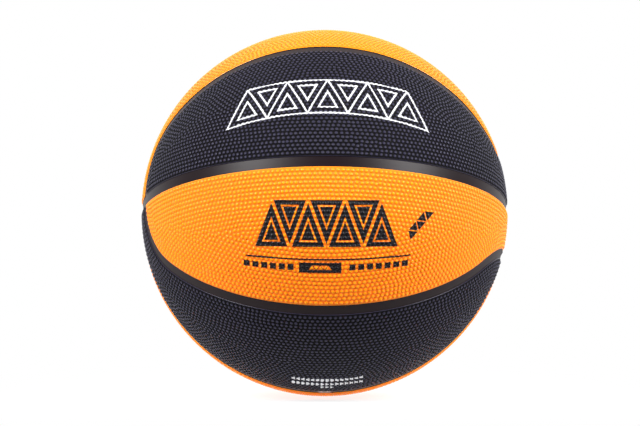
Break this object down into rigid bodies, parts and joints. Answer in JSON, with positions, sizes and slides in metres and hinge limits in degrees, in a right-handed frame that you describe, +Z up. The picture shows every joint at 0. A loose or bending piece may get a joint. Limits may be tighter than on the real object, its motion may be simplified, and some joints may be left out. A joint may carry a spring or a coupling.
{
  "type": "basketball",
  "caption": "Rubber basketball with pebbled orange and black panels, smooth black channels between them and a needle valve in one channel.",
  "frame": {"origin": "centre of the ball", "axes": "+X through a seam pole, to the right in the picture; +Y away from the viewer; +Z up; the valve lies on -Z"},
  "size_m": [0.2428, 0.2428, 0.2428],
  "materials": {
    "cover_orange": "satin, pebbled",
    "cover_black": "satin, pebbled",
    "channel_rubber": "smooth satin",
    "carcass_rubber": "matt",
    "nylon_thread": "matt",
    "bladder_rubber": "matt",
    "plug_rubber": "matt"
  },
  "bodies": {
    "root": {"bladder": "bladder_rubber", "valve_housing": "bladder_rubber", "valve_plug": "plug_rubber", "nylon_winding": "nylon_thread", "carcass": "carcass_rubber", "panel_upper_front": "cover_black", "panel_upper_back": "cover_orange", "panel_lower_front": "cover_orange", "panel_lower_back": "cover_black", "panel_top_front": "cover_orange", "panel_top_back": "cover_black", "panel_bottom_front": "cover_black", "panel_bottom_back": "cover_orange", "strip_equator": "channel_rubber", "strip_meridian_top": "channel_rubber", "strip_meridian_bottom_left": "channel_rubber", "strip_meridian_bottom_right": "channel_rubber", "strip_curved_upper_front": "channel_rubber", "strip_curved_upper_back": "channel_rubber", "strip_curved_lower_front": "channel_rubber", "strip_curved_lower_back": "channel_rubber"}
  },
  "joints": []
}
